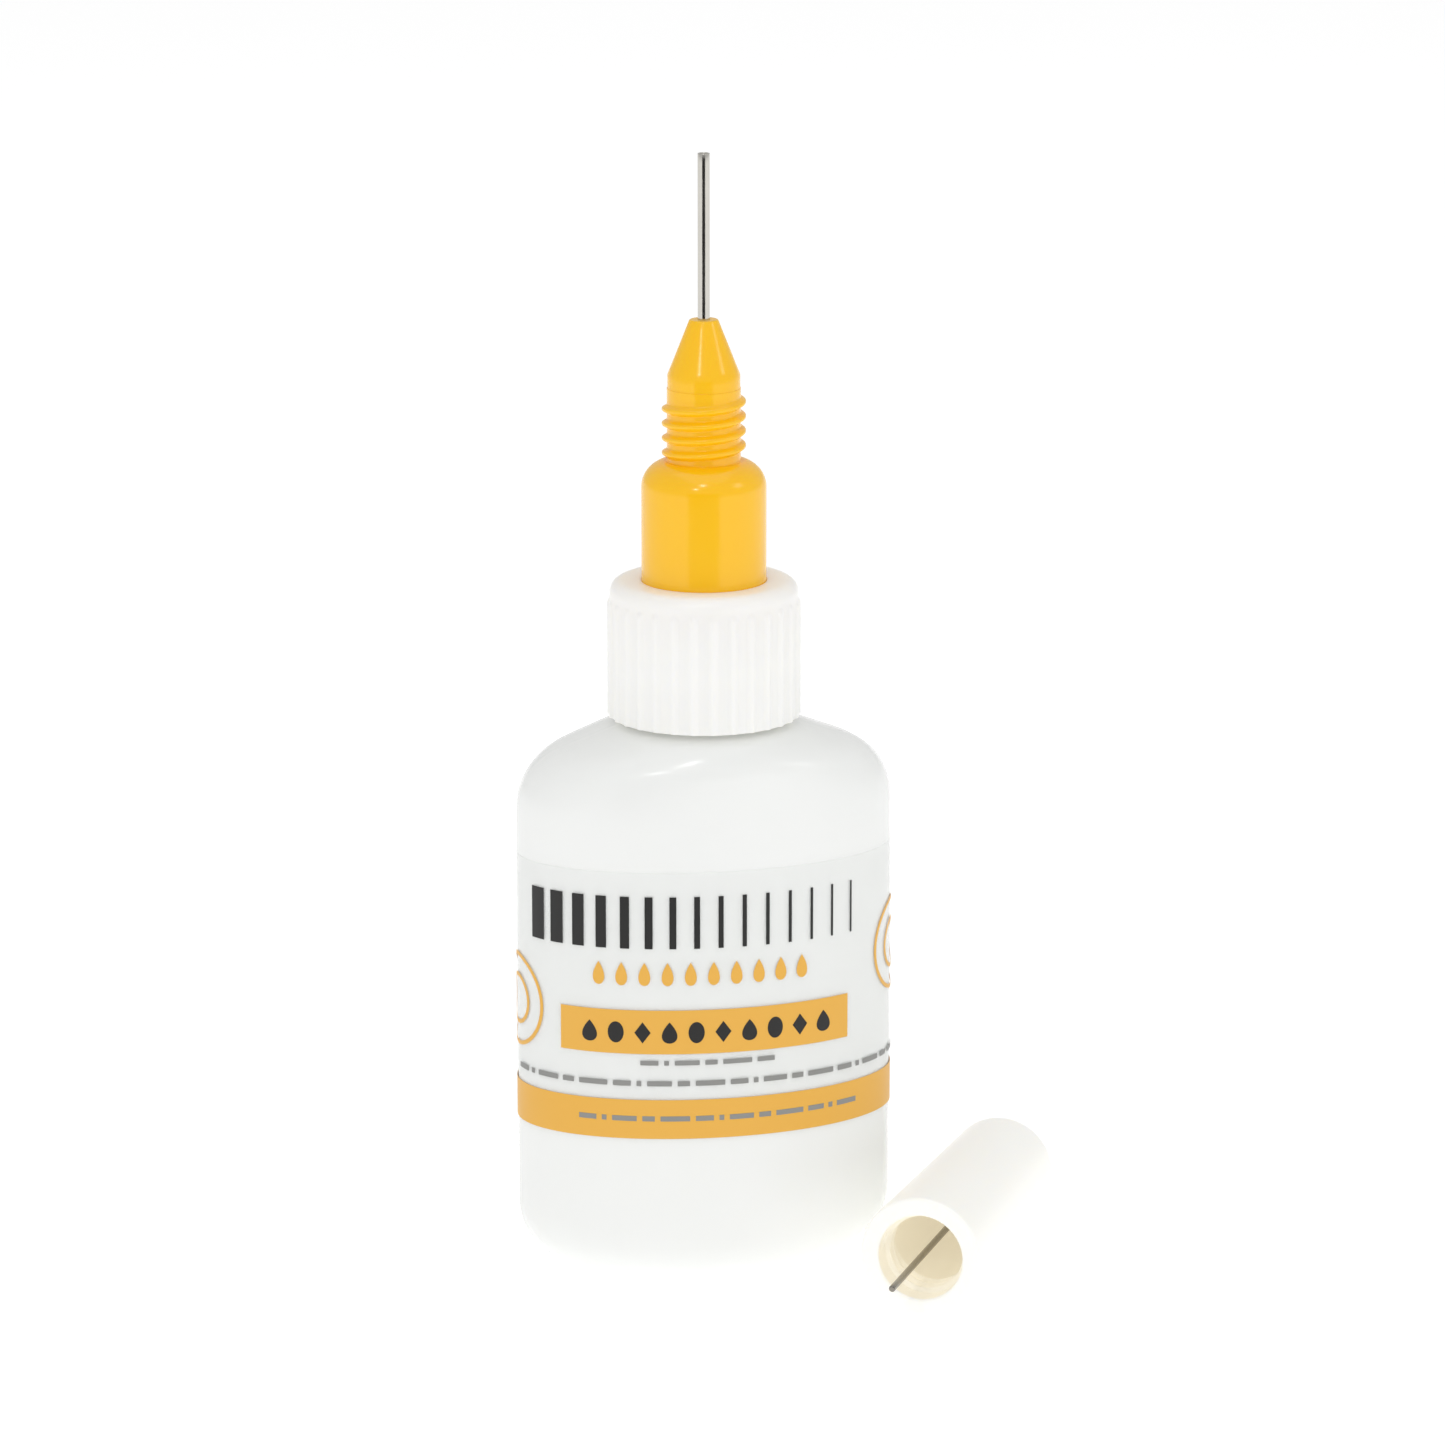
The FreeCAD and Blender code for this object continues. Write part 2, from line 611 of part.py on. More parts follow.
os.makedirs("parts", exist_ok=True)
for part in parts:
    part.Shape.exportStep("parts/%s.step" % part.Label)
    box = part.Shape.BoundBox
    print("%-12s volume %9.2f mm3  x %.2f..%.2f  y %.2f..%.2f  z %.2f..%.2f" % (
        part.Label, part.Shape.Volume, box.XMin, box.XMax, box.YMin, box.YMax, box.ZMin, box.ZMax))
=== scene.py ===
"""Looks of the glue applicator bottle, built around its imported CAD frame.

Every piece is a closed surface worked out with numpy in millimetres, in the frame's own axes, and
turned to metres when its mesh is filled. Each class below is one piece or a few that belong
together: it holds their sizes, builds their meshes and dresses them.
"""

import logging
import math
from collections.abc import Callable, Sequence
from dataclasses import dataclass, field
from enum import Enum

import bpy
import numpy as np
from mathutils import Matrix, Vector


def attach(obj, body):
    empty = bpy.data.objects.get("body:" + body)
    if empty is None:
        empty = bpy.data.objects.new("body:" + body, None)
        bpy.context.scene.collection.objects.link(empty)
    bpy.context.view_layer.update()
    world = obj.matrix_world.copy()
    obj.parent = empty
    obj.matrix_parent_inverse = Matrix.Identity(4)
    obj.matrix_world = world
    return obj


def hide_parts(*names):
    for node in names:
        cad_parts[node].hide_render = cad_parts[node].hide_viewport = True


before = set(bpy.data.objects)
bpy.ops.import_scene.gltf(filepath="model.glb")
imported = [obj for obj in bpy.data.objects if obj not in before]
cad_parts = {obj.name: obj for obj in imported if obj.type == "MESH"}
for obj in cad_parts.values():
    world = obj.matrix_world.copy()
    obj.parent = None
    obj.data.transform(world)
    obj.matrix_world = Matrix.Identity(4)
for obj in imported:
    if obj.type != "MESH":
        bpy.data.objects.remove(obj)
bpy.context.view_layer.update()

MM = 0.001
Array = np.ndarray
Relief = Callable[[Array, Array, Array], Array]
log = logging.getLogger("applicator")

# The screw threads of the neck and the collar, and those of the tip and the cap, in millimetres.
CLOSURE_PITCH = 3.175
CLOSURE_RIDGE = {"root": 1.9, "crest": 1.0, "height": 1.0}
TIP_PITCH = 1.55
# How near a point's radius must be to a wall's for the point to count as on that wall.
ON_WALL = 0.01


# ---------------------------------------------------------------------------- surfaces
class Ends(Enum):
    """How the first and last row of a surface finish."""

    LOOP = "the last row meets the first, as in a ring"
    POLES = "each end row closes on a point of the axis"


def quads(rows: int, columns: int, rows_wrap: bool, columns_wrap: bool) -> Array:
    """Corner numbers of the quads of a grid numbered row by row.

    Args:
        rows: How many rows of points there are.
        columns: How many points each row has.
        rows_wrap: Whether the last row joins the first.
        columns_wrap: Whether the last column joins the first.

    Returns:
        One quad a line, turned so that row direction is left of column direction.
    """
    row = np.arange(rows if rows_wrap else rows - 1)[:, None]
    column = np.arange(columns if columns_wrap else columns - 1)[None, :]
    above, beside = (row + 1) % rows * columns, (column + 1) % columns
    corners = (row * columns + column, row * columns + beside, above + beside, above + column)
    return np.stack(corners, axis=-1).reshape(-1, 4)


def fill_piece(name: str, points: Array, faces: list[list[int]], crease: float) -> bpy.types.Object:
    """A linked mesh object from points in millimetres.

    Args:
        name: Name of the piece.
        points: One point a line.
        faces: Corner numbers of each face.
        crease: Angle in degrees past which an edge stays sharp.

    Returns:
        The object, at the origin, unturned and unscaled.
    """
    mesh = bpy.data.meshes.new(name)
    mesh.from_pydata((points * MM).tolist(), [], faces)
    mesh.validate()
    mesh.shade_smooth()
    mesh.set_sharp_from_angle(angle=math.radians(crease))
    mesh.update()
    piece = bpy.data.objects.new(name, mesh)
    bpy.context.scene.collection.objects.link(piece)
    return piece


def skin(name: str, grid: Array, ends: Ends, crease: float = 40.0) -> bpy.types.Object:
    """A closed piece from a grid of points whose columns go round counter-clockwise.

    Args:
        name: Name of the piece.
        grid: Points by row and column, with the solid on the left of the way the rows go.
        ends: LOOP joins the last row to the first. POLES shrinks each end row to one point.
        crease: Angle in degrees past which an edge stays sharp.

    Returns:
        The piece.
    """
    columns = grid.shape[1]
    if ends is Ends.LOOP:
        faces = quads(grid.shape[0], columns, True, True).tolist()
        return fill_piece(name, grid.reshape(-1, 3), faces, crease)
    rings = grid[1:-1]
    count = rings.shape[0] * columns
    points = np.vstack([rings.reshape(-1, 3), grid[0, :1], grid[-1, :1]])
    column = np.arange(columns)
    beside = (column + 1) % columns
    first = np.stack([np.full(columns, count), beside, column], axis=-1)
    top = count - columns
    last = np.stack([top + column, top + beside, np.full(columns, count + 1)], axis=-1)
    faces = quads(rings.shape[0], columns, False, True).tolist() + first.tolist() + last.tolist()
    return fill_piece(name, points, faces, crease)


def rounded(corners: Sequence[tuple[float, float, float]], closed: bool = True,
            steps: int = 6) -> Array:
    """A profile whose corners are rounded by arcs that touch both sides.

    An arc of radius r at a corner of half-angle h starts r / tan(h) before the corner, and its
    centre is r / sin(h) from it along the bisector.

    Args:
        corners: Radius, height and rounding of each corner, counter-clockwise round the solid.
        closed: Whether the last corner joins the first.
        steps: Straight steps in each arc.

    Returns:
        Radius and height of each point.
    """
    corner = np.array(corners, float)
    place = corner[:, :2]
    count = len(place)
    pieces = []
    for index in range(count):
        here, rounding = place[index], corner[index, 2]
        ends_here = not closed and index in (0, count - 1)
        if rounding == 0 or ends_here:
            pieces.append(here[None])
            continue
        back = place[index - 1] - here
        ahead = place[(index + 1) % count] - here
        back_length, ahead_length = np.hypot(*back), np.hypot(*ahead)
        back, ahead = back / back_length, ahead / ahead_length
        half = math.acos(np.clip(back @ ahead, -1.0, 1.0)) / 2
        reach = min(rounding / math.tan(half), 0.49 * back_length, 0.49 * ahead_length)
        radius = reach * math.tan(half)
        middle = back + ahead
        centre = here + middle / np.hypot(*middle) * radius / math.sin(half)
        start, finish = here + back * reach - centre, here + ahead * reach - centre
        turn = math.pi - 2 * half
        share = np.linspace(0, 1, steps + 1)[:, None]
        arc = (np.sin((1 - share) * turn) * start + np.sin(share * turn) * finish) / math.sin(turn)
        pieces.append(centre + arc)
    return np.vstack(pieces)


def refined(profile: Array, fine: float, coarse: float, band: tuple[float, float],
            closed: bool = True) -> Array:
    """The same profile with points added along its straight runs.

    Args:
        profile: Radius and height of each point.
        fine: Longest step inside the band, in millimetres.
        coarse: Longest step elsewhere.
        band: Lowest and highest height where steps are fine.
        closed: Whether the last point joins the first.

    Returns:
        The profile with more points.
    """
    run = np.roll(profile, -1, axis=0) - profile
    low, high = np.minimum(profile[:, 1], profile[:, 1] + run[:, 1]), np.maximum(
        profile[:, 1], profile[:, 1] + run[:, 1])
    inside = (high > band[0]) & (low < band[1])
    step = np.where(inside, fine, coarse)
    count = np.maximum(1, np.ceil(np.hypot(run[:, 0], run[:, 1]) / step)).astype(int)
    if not closed:
        count[-1] = 1
    first = np.repeat(np.cumsum(count) - count, count)
    share = (np.arange(count.sum()) - first) / np.repeat(count, count)
    part = np.repeat(np.arange(len(profile)), count)
    return profile[part] + run[part] * share[:, None]


def turned(name: str, profile: Array, columns: int, ends: Ends = Ends.LOOP,
           relief: Relief | None = None, crease: float = 40.0) -> bpy.types.Object:
    """A profile carried round the upright axis.

    A point is (r cos a, r sin a, z), where the relief may change r as a function of angle a,
    radius r and height z.

    Args:
        name: Name of the piece.
        profile: Radius and height of each point, counter-clockwise round the solid.
        columns: Steps round the axis.
        ends: LOOP for a ring, POLES for a profile that starts and ends on the axis.
        relief: Takes angle, radius and height, and gives the new radius.
        crease: Angle in degrees past which an edge stays sharp.

    Returns:
        The piece.
    """
    return skin(name, turned_grid(profile, columns, relief), ends, crease)


def turned_grid(profile: Array, columns: int, relief: Relief | None = None) -> Array:
    """Points by row and column of a profile carried round the upright axis."""
    angle = np.linspace(0, 2 * np.pi, columns, endpoint=False)[None, :]
    radius = np.repeat(profile[:, :1], columns, axis=1)
    height = np.repeat(profile[:, 1:], columns, axis=1)
    if relief is not None:
        radius = relief(angle, radius, height)
    return np.stack([radius * np.cos(angle), radius * np.sin(angle), height], axis=-1)


@dataclass(frozen=True)
class Thread:
    """A right-hand ridge that winds round the upright axis.

    At height z and angle a the nearest winding is number k = round((z - level) / pitch - a / 2 pi),
    and its middle lies at level + pitch (k + a / 2 pi).
    """

    level: float
    pitch: float
    turns: float
    root: float
    crest: float
    height: float
    fade: float = 0.12

    def rise(self, angle: Array, height: Array) -> Array:
        """How far the ridge stands off its wall: full over the crest, sloping to the root."""
        part = angle / (2 * np.pi)
        winding = np.round((height - self.level) / self.pitch - part)
        turn = np.clip(winding, 0, np.floor(self.turns)) + part
        off = np.abs(height - self.level - self.pitch * turn)
        slope = np.clip((self.root / 2 - off) / (self.root / 2 - self.crest / 2), 0, 1)
        soft = slope * slope * (3 - 2 * slope)
        ends = np.clip(np.minimum(turn, self.turns - turn) / self.fade, 0, 1)
        return self.height * soft * np.sqrt(ends)


# ---------------------------------------------------------------------------- materials
def linear(hex_colour: str) -> tuple[float, float, float, float]:
    """An sRGB hex colour as linear light: v / 12.92 near black, else ((v + 0.055) / 1.055)^2.4."""
    value = np.array([int(hex_colour[index:index + 2], 16) for index in (1, 3, 5)]) / 255
    light = np.where(value <= 0.04045, value / 12.92, ((value + 0.055) / 1.055) ** 2.4)
    return (*light.tolist(), 1.0)


def add_node(tree: bpy.types.NodeTree, kind: str, settings: dict[str, object],
             links: dict[str | int, bpy.types.NodeSocket]) -> bpy.types.Node:
    """A node with its settings and links.

    Args:
        tree: The material's node tree.
        kind: The node's type name.
        settings: Values by input name or, for names the node has no input for, by property.
        links: Output sockets to join, by this node's input name or number.

    Returns:
        The node.
    """
    node = tree.nodes.new(kind)
    for key, value in settings.items():
        if key in node.inputs:
            node.inputs[key].default_value = value
        else:
            setattr(node, key, value)
    for key, source in links.items():
        tree.links.new(source, node.inputs[key])
    return node


@dataclass(frozen=True)
class Finish:
    """A moulded plastic: body colour, gloss, faint cloudiness and a fine moulded grain.

    The emission in the body colour is a painted glow. It stands in for the light that reaches a
    face through the wall from its other side, and lightens its shaded creases. The cloudiness moves
    between two close colours over cloud_mm. The grain is a bump of grain_mm features, grain_depth
    millimetres deep. Roughness wanders by rough_spread over cloud_mm.
    """

    name: str
    slot: str
    colour: str
    shade: str
    roughness: float
    rough_spread: float = 0.06
    ior: float = 1.49
    cloud_mm: float = 9.0
    grain_mm: float = 0.35
    grain_depth: float = 0.004
    glow: float = 0.0
    glow_mm: tuple[float, float, float] = (1.0, 1.0, 1.0)
    clearness: float = 0.0
    metallic: float = 0.0
    painted_glow: float = 0.0

    def place(self, tree: bpy.types.NodeTree) -> bpy.types.NodeSocket:
        """Object coordinates in millimetres."""
        spot = add_node(tree, "ShaderNodeTexCoord", {}, {})
        scaled = add_node(tree, "ShaderNodeMapping", {"Scale": (1 / MM,) * 3},
                          {"Vector": spot.outputs["Object"]})
        return scaled.outputs["Vector"]

    def cloud(self, tree: bpy.types.NodeTree, place: bpy.types.NodeSocket) -> bpy.types.NodeSocket:
        """A slow value from 0 to 1 that moves over cloud_mm."""
        noise = add_node(tree, "ShaderNodeTexNoise",
                         {"Scale": 1 / self.cloud_mm, "Detail": 3.0, "Roughness": 0.5},
                         {"Vector": place})
        return noise.outputs["Fac"]

    def grain(self, tree: bpy.types.NodeTree, place: bpy.types.NodeSocket) -> bpy.types.NodeSocket:
        """The surface's own fine height, 0 to 1."""
        noise = add_node(tree, "ShaderNodeTexNoise",
                         {"Scale": 1 / self.grain_mm, "Detail": 2.0, "Roughness": 0.6},
                         {"Vector": place})
        return noise.outputs["Fac"]

    def material(self) -> bpy.types.Material:
        """The finish as a node material, made once."""
        known = bpy.data.materials.get(self.name)
        if known is not None:
            return known
        material = bpy.data.materials.new(self.name)
        material.use_nodes = True
        tree = material.node_tree
        tree.nodes.clear()
        place = self.place(tree)
        cloud = self.cloud(tree, place)
        tone = add_node(tree, "ShaderNodeMix",
                        {"data_type": "RGBA"}, {0: cloud})
        tone.inputs[6].default_value = linear(self.shade)
        tone.inputs[7].default_value = linear(self.colour)
        rough = add_node(tree, "ShaderNodeMapRange",
                         {"To Min": self.roughness - self.rough_spread,
                          "To Max": self.roughness + self.rough_spread}, {"Value": cloud})
        bump = add_node(tree, "ShaderNodeBump",
                        {"Strength": 1.0, "Distance": self.grain_depth * MM},
                        {"Height": self.grain(tree, place)})
        # Emission in the body colour is a painted glow that stands in for light coming through the
        # wall.
        settings = {"Metallic": self.metallic, "Subsurface Weight": self.glow,
                    "Subsurface Radius": self.glow_mm, "Subsurface Scale": MM,
                    "Emission Color": linear(self.colour), "Emission Strength": self.painted_glow,
                    "Alpha": 1 - self.clearness}
        if not self.metallic:
            settings["IOR"] = self.ior
        shader = add_node(tree, "ShaderNodeBsdfPrincipled", settings,
                          {"Base Color": tone.outputs[2], "Roughness": rough.outputs["Result"],
                           "Normal": bump.outputs["Normal"]})
        add_node(tree, "ShaderNodeOutputMaterial", {}, {"Surface": shader.outputs["BSDF"]})
        return material

    def dress(self, piece: bpy.types.Object) -> bpy.types.Object:
        """Give a piece this material."""
        piece.data.materials.clear()
        piece.data.materials.append(self.material())
        return piece


@dataclass(frozen=True)
class DrawnSteel(Finish):
    """Stainless steel drawn through a die: fine lines along the tube, bright and a little soft.

    The lines are noise squeezed across the drawing direction and stretched along it.
    """

    line_mm: float = 0.06
    along: tuple[float, float, float] = (0.0, 0.0, 1.0)

    def grain(self, tree: bpy.types.NodeTree, place: bpy.types.NodeSocket) -> bpy.types.NodeSocket:
        """Lines of line_mm across and about 60 times as long along the drawing direction."""
        turn = Vector(self.along).rotation_difference(Vector((0, 0, 1))).to_euler()
        upright = add_node(tree, "ShaderNodeMapping",
                           {"vector_type": "POINT", "Rotation": tuple(turn)}, {"Vector": place})
        stretched = add_node(tree, "ShaderNodeMapping", {"Scale": (1.0, 1.0, 1 / 60)},
                             {"Vector": upright.outputs["Vector"]})
        noise = add_node(tree, "ShaderNodeTexNoise", {"Scale": 1 / self.line_mm, "Detail": 1.0},
                         {"Vector": stretched.outputs["Vector"]})
        return noise.outputs["Fac"]


# The bottle, collar, cap and tip finishes below carry a painted glow, emission in their own colour,
# that lightens their shade as if light came through the wall.
# Low-density polyethylene, blow moulded: milky, waxy and soft to the eye, with slow cloudiness.
MILKY_POLYETHYLENE = Finish(
    name="milky_polyethylene", slot="bottle_plastic", colour="#F6F7F5", shade="#F1F3F0",
    roughness=0.22, ior=1.51, cloud_mm=14.0, grain_mm=0.7, grain_depth=0.006,
    glow=0.4, glow_mm=(2.2, 2.2, 2.1), painted_glow=0.06)
# Injection-moulded polypropylene: warm white, satin, with a hint of spark-eroded mould grain.
WHITE_POLYPROPYLENE = Finish(
    name="satin_white_polypropylene", slot="collar_plastic", colour="#FBFAF5", shade="#F8F7F1",
    roughness=0.32, cloud_mm=7.0, grain_mm=0.25, grain_depth=0.003, glow=0.5,
    glow_mm=(2.8, 2.7, 2.2), painted_glow=0.08)
CAP_POLYPROPYLENE = Finish(
    name="satin_cream_polypropylene", slot="cap_plastic", colour="#FDFCF7", shade="#FBFAF3",
    roughness=0.34, cloud_mm=7.0, grain_mm=0.25, grain_depth=0.003, glow=0.3,
    glow_mm=(1.6, 1.4, 1.0), painted_glow=0.13)
# The same plastic inside the cap, with painted light: a creamier colour and a stronger painted glow
# stand in for the room's light arriving through the wall.
CAP_INSIDE_PAINTED_LIGHT = Finish(
    name="painted_light_cream_polypropylene", slot="cap_plastic", colour="#FAF5E8", shade="#F8F2E0",
    roughness=0.4, cloud_mm=7.0, grain_mm=0.25, grain_depth=0.003, painted_glow=0.16)
# High-density polyethylene coloured golden yellow in the melt: waxy gloss, slight flow marks.
YELLOW_POLYETHYLENE = Finish(
    name="golden_yellow_polyethylene", slot="tip_plastic", colour="#FFC50E", shade="#FEC10A",
    roughness=0.2, ior=1.53, cloud_mm=5.0, grain_mm=0.3, grain_depth=0.003, glow=0.12,
    glow_mm=(1.4, 0.8, 0.2), painted_glow=0.05)
WHITE_FOAM = Finish(
    name="closed_cell_foam", slot="gasket_foam", colour="#F2F2EE", shade="#E8E8E2",
    roughness=0.85, rough_spread=0.03, cloud_mm=1.0, grain_mm=0.12, grain_depth=0.02)
LABEL_FILM = Finish(
    name="clear_polypropylene_film", slot="label_film", colour="#F8F9F8", shade="#F5F7F6",
    roughness=0.16, rough_spread=0.03, cloud_mm=18.0, grain_mm=1.6, grain_depth=0.004,
    clearness=0.86)
GOLD_INK = Finish(
    name="golden_screen_ink", slot="label_film", colour="#F1B84C", shade="#EFB446",
    roughness=0.42, cloud_mm=6.0, grain_mm=0.3, grain_depth=0.002)
BLACK_INK = Finish(
    name="black_screen_ink", slot="label_film", colour="#1C1B1A", shade="#161514",
    roughness=0.4, cloud_mm=4.0, grain_mm=0.3, grain_depth=0.002)
GREY_INK = Finish(
    name="grey_screen_ink", slot="label_film", colour="#959592", shade="#8D8D8A",
    roughness=0.45, cloud_mm=4.0, grain_mm=0.3, grain_depth=0.002)
NEEDLE_STEEL = DrawnSteel(
    name="drawn_steel_tube", slot="needle_steel", colour="#D6D3CC", shade="#C9C6BE",
    roughness=0.17, rough_spread=0.04, cloud_mm=2.0, grain_depth=0.002, metallic=1.0)


# ---------------------------------------------------------------------------- bottle
@dataclass
class SqueezeBottle:
    """The blow-moulded oval bottle, from its recessed base to the threaded neck's rim.

    Each height has an ellipse with half-axes a and b. The ends' curve gives a and the faces' curve
    gives b: a heel arc, an upright side, a shoulder arc and a slope up to the round neck.
    """

    half_width: float = 20.0
    half_depth: float = 12.0
    wall: float = 1.0
    heel_end: float = 7.2
    heel_face: float = 4.6
    side_height: float = 50.3
    shoulder_end: float = 6.8
    shoulder_face: float = 4.2
    slope: float = math.radians(20)
    neck_radius: float = 7.7
    neck_bore: float = 5.75
    neck_height: float = 11.1
    rim_round: float = 0.35
    thread_rise: float = 2.0
    thread_turns: float = 2.0
    recess_radius: float = 6.3
    recess_depth: float = 0.4
    recess_slope: float = 0.6
    recess_round: float = 0.5
    columns: int = 264
    seam_rise: float = 0.05
    seam_width: float = 0.28
    neck_step: float = 0.2

    def half_axes(self, inset: float) -> Array:
        """Half-width, half-depth and height of each ellipse from the foot to the neck.

        Args:
            inset: 0 for the outer surface, the wall's thickness for the inner one.

        Returns:
            One ellipse a line, upwards.
        """
        wide, deep = self.half_width - inset, self.half_depth - inset
        heel_end, heel_face = self.heel_end - inset, self.heel_face - inset
        top_end, top_face = self.shoulder_end - inset, self.shoulder_face - inset
        neck = self.neck_bore if inset else self.neck_radius
        swing = np.linspace(0, np.pi / 2, 40)
        heel_up = self.heel_end - heel_end * np.cos(swing)
        heel_across = wide - heel_end * (1 - np.sin(swing))
        below = np.maximum(0, self.heel_face - heel_up)
        heel_deep = deep - heel_face + np.sqrt(np.maximum(0, heel_face ** 2 - below ** 2))
        side_up = np.linspace(self.heel_end, self.side_height, 26)[1:]
        side = np.ones_like(side_up)
        turn = np.linspace(0, np.pi / 2 - self.slope, 18)[1:]
        across = wide - top_end * (1 - np.cos(turn))
        up = self.side_height + top_end * np.sin(turn)
        ease = np.sin(np.linspace(0, np.pi / 2, 30))[1:]
        climb = (across[-1] - neck) * math.tan(self.slope)
        across = np.concatenate([across, across[-1] + (neck - across[-1]) * ease])
        up = np.concatenate([up, up[-1] + climb * ease])
        above = np.maximum(0, up - (self.neck_base() - self.shoulder_face))
        top_deep = deep - top_face + np.sqrt(np.maximum(0, top_face ** 2 - above ** 2))
        top_deep = np.maximum(neck, top_deep)
        widths = np.concatenate([heel_across, wide * side, across])
        depths = np.concatenate([heel_deep, deep * side, top_deep])
        heights = np.concatenate([heel_up, side_up, up])
        return np.stack([widths, np.minimum(widths, depths), heights], axis=-1)

    def neck_base(self) -> float:
        """Height where the shoulder's slope meets the neck."""
        tangent = self.half_width - self.shoulder_end * (1 - math.sin(self.slope))
        rise = self.shoulder_end * math.cos(self.slope)
        return self.side_height + rise + (tangent - self.neck_radius) * math.tan(self.slope)

    def grid(self) -> Array:
        """Points by row and column, from the base's middle over the rim to the inner floor."""
        outer = self.half_axes(0)
        inner = self.half_axes(self.wall)[::-1]
        base, rim = self.neck_base(), self.neck_base() + self.neck_height
        neck = refined(rounded([
            (self.neck_radius, base, 0), (self.neck_radius, rim, self.rim_round),
            (self.neck_bore, rim, self.rim_round), (self.neck_bore, inner[0, 2], 0),
        ], closed=False), self.neck_step, self.neck_step, (base, rim), closed=False)[1:-1]
        foot = outer[0, 0]
        lip = self.recess_radius
        floor = rounded([(0, self.recess_depth, 0), (lip, self.recess_depth, self.recess_round),
                         (lip + self.recess_slope, 0, self.recess_round), (foot, 0, 0)],
                        closed=False)[:-1]
        both = np.stack([neck[:, 0], neck[:, 0], neck[:, 1]], axis=-1)
        under = np.stack([floor[:, 0], floor[:, 0], floor[:, 1]], axis=-1)
        middle = np.array([[0.0, 0.0, inner[-1, 2]]])
        axes = np.vstack([under, outer, both, inner, middle])
        angle = np.linspace(0, 2 * np.pi, self.columns, endpoint=False)[None, :]
        height = np.repeat(axes[:, 2:], self.columns, axis=1)
        thread = Thread(level=base + self.thread_rise, pitch=CLOSURE_PITCH,
                        turns=self.thread_turns, **CLOSURE_RIDGE)
        first = len(under) + len(outer)
        on_neck = np.zeros((len(axes), 1))
        on_neck[first:first + len(neck)] = neck[:, :1] > self.neck_radius - ON_WALL
        outside = np.zeros((len(axes), 1))
        outside[len(under) + 2:first + len(neck) // 2] = 1
        ridge = on_neck * thread.rise(angle, height)
        off = np.abs(np.sin(angle)) * axes[:, 1:2]
        seam = outside * self.seam_rise * np.exp(-(off / self.seam_width) ** 2)
        wide, deep = axes[:, :1] + ridge + seam, axes[:, 1:2] + ridge
        return np.stack([wide * np.cos(angle), deep * np.sin(angle), height], axis=-1)

    def build(self) -> bpy.types.Object:
        """The bottle as one closed shell."""
        piece = skin("bottle_shell", self.grid(), Ends.POLES, crease=50)
        MILKY_POLYETHYLENE.dress(piece)
        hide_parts("bottle")
        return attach(piece, "bottle")


# ---------------------------------------------------------------------------- label
class Shape(Enum):
    """Outline of a printed mark."""

    BAR = "a rectangle"
    DIAMOND = "a square stood on its corner"
    DISC = "a round dot"
    DROP = "a drop with its point up"


@dataclass(frozen=True)
class Mark:
    """A filled mark on the label: its middle along and up the film, and its size."""

    shape: Shape
    along: float
    up: float
    width: float
    height: float
    columns: int = 5

    def grid(self) -> Array:
        """The mark as a patch of points (along, up), made from a square with sides of 2.

        A disc takes u sqrt(1 - v v / 2) for u and the same with u and v changed over. A drop is
        a disc whose width falls with the square root of the way left to its point. A diamond
        turns the square by an eighth of a turn.
        """
        rows = 2 if self.shape is Shape.BAR else self.columns
        u, v = np.meshgrid(np.linspace(-1, 1, self.columns), np.linspace(-1, 1, rows))
        if self.shape is Shape.DIAMOND:
            u, v = (u - v) / 2, (u + v) / 2
        if self.shape in (Shape.DISC, Shape.DROP):
            u, v = u * np.sqrt(1 - v * v / 2), v * np.sqrt(1 - u * u / 2)
        if self.shape is Shape.DROP:
            u = u * np.sqrt(np.clip((1 - v) / 2, 0, 1)) * 1.25
        return np.stack([self.along + u * self.width / 2, self.up + v * self.height / 2], axis=-1)


@dataclass(frozen=True)
class Ring:
    """An outline mark: an ellipse of the given half-axes and line thickness."""

    along: float
    up: float
    half_width: float
    half_height: float
    line: float
    columns: int = 72

    def grid(self) -> Array:
        """Outer ellipse then inner one, each point at (middle + half-axis x cos or sin)."""
        angle = np.linspace(0, 2 * np.pi, self.columns, endpoint=False)
        edge = np.array([0.0, self.line])[:, None]
        along = self.along + (self.half_width - edge) * np.cos(angle)
        up = self.up + (self.half_height - edge) * np.sin(angle)
        return np.stack([along, up], axis=-1)


